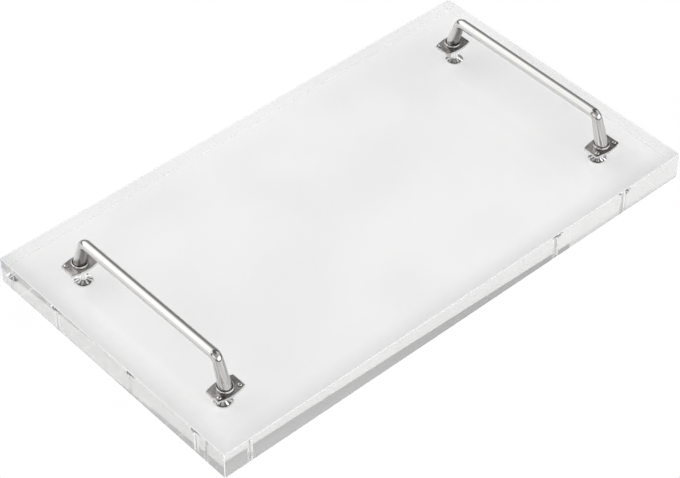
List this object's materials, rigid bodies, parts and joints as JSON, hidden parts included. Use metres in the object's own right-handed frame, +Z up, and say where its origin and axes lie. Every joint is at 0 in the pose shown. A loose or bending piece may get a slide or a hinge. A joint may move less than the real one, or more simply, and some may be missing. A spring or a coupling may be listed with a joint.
{
  "type": "vanity tray",
  "caption": "Thick clear slab tray with a bent round-rod handle near each short end, each leg on a small bowed base plate and screwed on from below.",
  "frame": {"origin": "middle of the slab's underside, on the surface the tray rests on", "axes": "+X along the slab's long side, +Y along its short side and along both handle bars, +Z up"},
  "size_m": [0.4572, 0.2566, 0.0566],
  "materials": {
    "clear_acrylic": "clear cast acrylic with polished faces and edges",
    "brushed_nickel": "satin brushed nickel, brushed along the rod",
    "plate_nickel": "darker brushed nickel on the base plates",
    "polished_nickel": "bright polished nickel on collars and pins",
    "zinc_steel": "bright zinc-plated steel"
  },
  "bodies": {
    "root": {"acrylic_slab": "clear_acrylic", "base_plate_left_back": "plate_nickel", "base_plate_left_front": "plate_nickel", "base_plate_right_back": "plate_nickel", "base_plate_right_front": "plate_nickel", "collar_ring_left_back": "polished_nickel", "collar_ring_left_front": "polished_nickel", "collar_ring_right_back": "polished_nickel", "collar_ring_right_front": "polished_nickel", "cup_washer_left_back": "zinc_steel", "cup_washer_left_front": "zinc_steel", "cup_washer_right_back": "zinc_steel", "cup_washer_right_front": "zinc_steel", "handle_rod_left": "brushed_nickel", "handle_rod_right": "brushed_nickel", "plate_pin_left_back_1": "polished_nickel", "plate_pin_left_back_2": "polished_nickel", "plate_pin_left_front_1": "polished_nickel", "plate_pin_left_front_2": "polished_nickel", "plate_pin_right_back_1": "polished_nickel", "plate_pin_right_back_2": "polished_nickel", "plate_pin_right_front_1": "polished_nickel", "plate_pin_right_front_2": "polished_nickel", "screw_left_back": "zinc_steel", "screw_left_front": "zinc_steel", "screw_right_back": "zinc_steel", "screw_right_front": "zinc_steel"}
  },
  "joints": []
}
